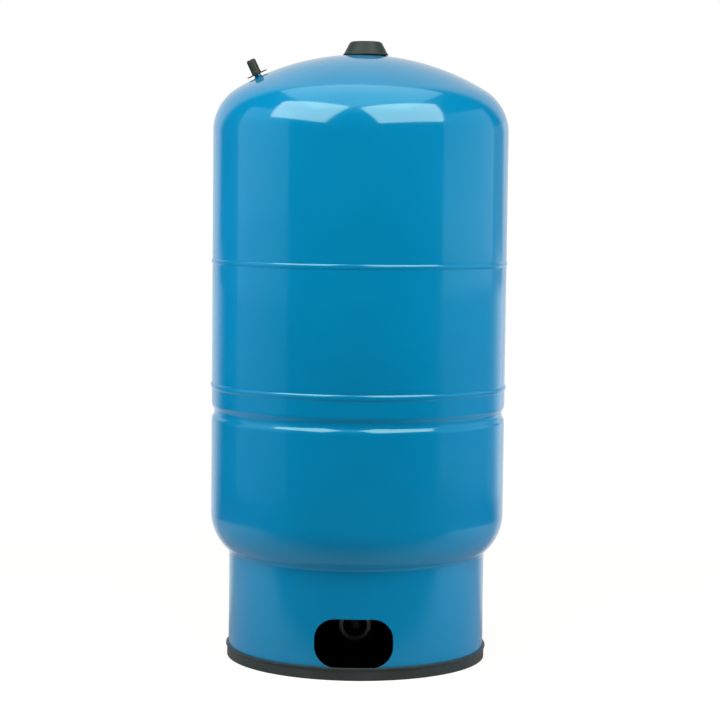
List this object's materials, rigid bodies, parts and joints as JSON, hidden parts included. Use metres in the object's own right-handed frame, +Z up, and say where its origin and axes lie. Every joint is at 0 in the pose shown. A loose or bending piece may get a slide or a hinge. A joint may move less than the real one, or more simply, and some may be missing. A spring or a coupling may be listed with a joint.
{
  "type": "well pressure tank",
  "caption": "Upright steel well pressure tank with domed heads, girth welds, clamp groove, slotted stand, base ring, elbow outlet, air valve and top cover.",
  "frame": {"origin": "centre of the base ring's underside, on the tank's axis", "axes": "+Z up along the tank's axis; the pipe slot and the outlet face -Y"},
  "size_m": [0.3934, 0.3934, 0.8181],
  "materials": {
    "painted_shell": "gloss",
    "plain_steel": "satin",
    "stainless_steel": "satin",
    "valve_steel": "gloss",
    "core_brass": "satin",
    "ring_plastic": "satin",
    "cover_plastic": "satin",
    "cap_plastic": "satin",
    "liner_plastic": "satin",
    "diaphragm_rubber": "matte",
    "seal_rubber": "matte"
  },
  "bodies": {
    "tank": {"upper_shell": "painted_shell", "middle_shell": "painted_shell", "lower_shell": "painted_shell", "upper_girth_weld": "painted_shell", "lower_girth_weld": "painted_shell", "band_weld": "painted_shell", "hoop_ring": "plain_steel", "liner": "liner_plastic", "diaphragm": "diaphragm_rubber", "stand": "painted_shell", "stand_seam_weld": "painted_shell", "stand_weld": "painted_shell", "base_ring": "ring_plastic", "outlet_elbow": "stainless_steel", "outlet_weld": "stainless_steel", "liner_seal": "seal_rubber", "liner_retainer": "liner_plastic", "crown_boss": "painted_shell", "crown_weld": "painted_shell", "valve_stem": "valve_steel", "stem_weld": "painted_shell", "valve_washer": "cap_plastic", "valve_core_barrel": "core_brass", "valve_core_gasket": "seal_rubber", "valve_core_spring": "plain_steel"},
    "cover": {"top_cover": "cover_plastic"},
    "cap": {"valve_cap": "cap_plastic", "valve_cap_seal": "seal_rubber"},
    "pin": {"valve_core_pin": "core_brass", "valve_core_pin_seal": "seal_rubber"}
  },
  "joints": [
    {"name": "cover_lift", "type": "slide", "parent": "tank", "child": "cover", "axis": [0, 0, 1], "range_m": [0, 0.03]},
    {"name": "cap_off", "type": "slide", "parent": "tank", "child": "cap", "axis": [-0.4291, -0.0451, 0.9022], "range_m": [0, 0.025]},
    {"name": "pin_press", "type": "slide", "parent": "tank", "child": "pin", "axis": [0.4291, 0.0451, -0.9022], "range_m": [0, 0.0012], "stiffness_N_per_m": 1000, "springref_m": -0.0015, "deforming": ["valve_core_spring"]}
  ]
}
